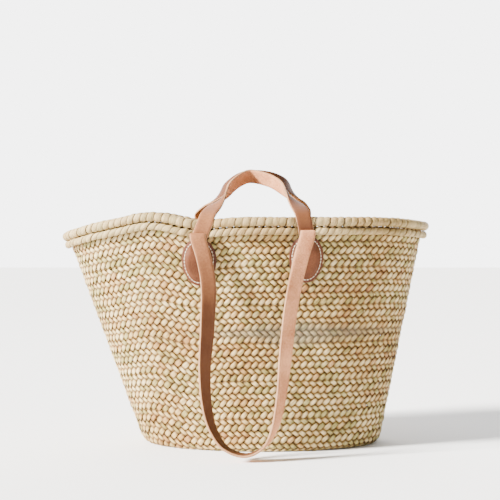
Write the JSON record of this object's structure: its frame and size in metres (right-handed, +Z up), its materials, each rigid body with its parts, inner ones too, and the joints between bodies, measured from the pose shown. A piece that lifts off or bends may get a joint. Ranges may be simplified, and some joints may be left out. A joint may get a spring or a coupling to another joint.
{
  "type": "market basket",
  "caption": "Oval market basket woven from palm-leaf plait, with a whipped rim, short leather handles and long leather shoulder straps.",
  "frame": {"origin": "centre of the base's flat underside", "axes": "+Z up, +X along the length towards the steeper end, -Y towards the front; the rim flares further at the -X end"},
  "size_m": [0.506, 0.3258, 0.3752],
  "materials": {
    "palm_plait": "matt dried palm leaf",
    "whipped_rim": "matt dried palm leaf",
    "sewing_cord": "twisted palm fibre",
    "patch_leather": "smooth vegetable-tanned",
    "strap_leather": "vegetable-tanned, one side smooth and one rough",
    "waxed_thread": "waxed linen thread"
  },
  "bodies": {
    "basket": {"base_plait": "palm_plait", "base_sewing_cord": "sewing_cord", "wall_plait_round_1": "palm_plait", "wall_plait_round_2": "palm_plait", "wall_plait_round_3": "palm_plait", "wall_plait_round_4": "palm_plait", "wall_plait_round_5": "palm_plait", "wall_plait_round_6": "palm_plait", "wall_sewing_cord_1": "sewing_cord", "wall_sewing_cord_2": "sewing_cord", "wall_sewing_cord_3": "sewing_cord", "wall_sewing_cord_4": "sewing_cord", "wall_sewing_cord_5": "sewing_cord", "rim_roll": "whipped_rim", "rim_cord": "whipped_rim", "front_left_patch": "patch_leather", "front_right_patch": "patch_leather", "front_left_stitching": "waxed_thread", "front_right_stitching": "waxed_thread", "front_short_handle_ends": "strap_leather", "front_long_strap_ends": "strap_leather", "back_left_patch": "patch_leather", "back_right_patch": "patch_leather", "back_left_stitching": "waxed_thread", "back_right_stitching": "waxed_thread", "back_short_handle_ends": "strap_leather", "back_long_strap_ends": "strap_leather"},
    "front_short_handle": {"front_short_handle_loop": "strap_leather"},
    "front_long_strap": {"front_long_strap_loop": "strap_leather"},
    "back_short_handle": {"back_short_handle_loop": "strap_leather"},
    "back_long_strap": {"back_long_strap_loop": "strap_leather"}
  },
  "joints": [
    {"name": "front_short_handle_swing", "type": "hinge", "parent": "basket", "child": "front_short_handle", "pos_m": [-0.0124, -0.1158, 0.31023], "axis": [0.9993, 0.0239, 0.0273], "range_deg": [0, 63]},
    {"name": "front_long_strap_swing", "type": "hinge", "parent": "basket", "child": "front_long_strap", "pos_m": [-0.01224, -0.12143, 0.28763], "axis": [-0.9994, -0.0209, -0.0277], "range_deg": [0, 165]},
    {"name": "back_short_handle_swing", "type": "hinge", "parent": "basket", "child": "back_short_handle", "pos_m": [-0.0124, 0.1158, 0.31023], "axis": [-0.9993, 0.0239, -0.0273], "range_deg": [0, 63]},
    {"name": "back_long_strap_swing", "type": "hinge", "parent": "basket", "child": "back_long_strap", "pos_m": [-0.01224, 0.12143, 0.28763], "axis": [0.9994, -0.0209, 0.0277], "range_deg": [0, 165]}
  ]
}
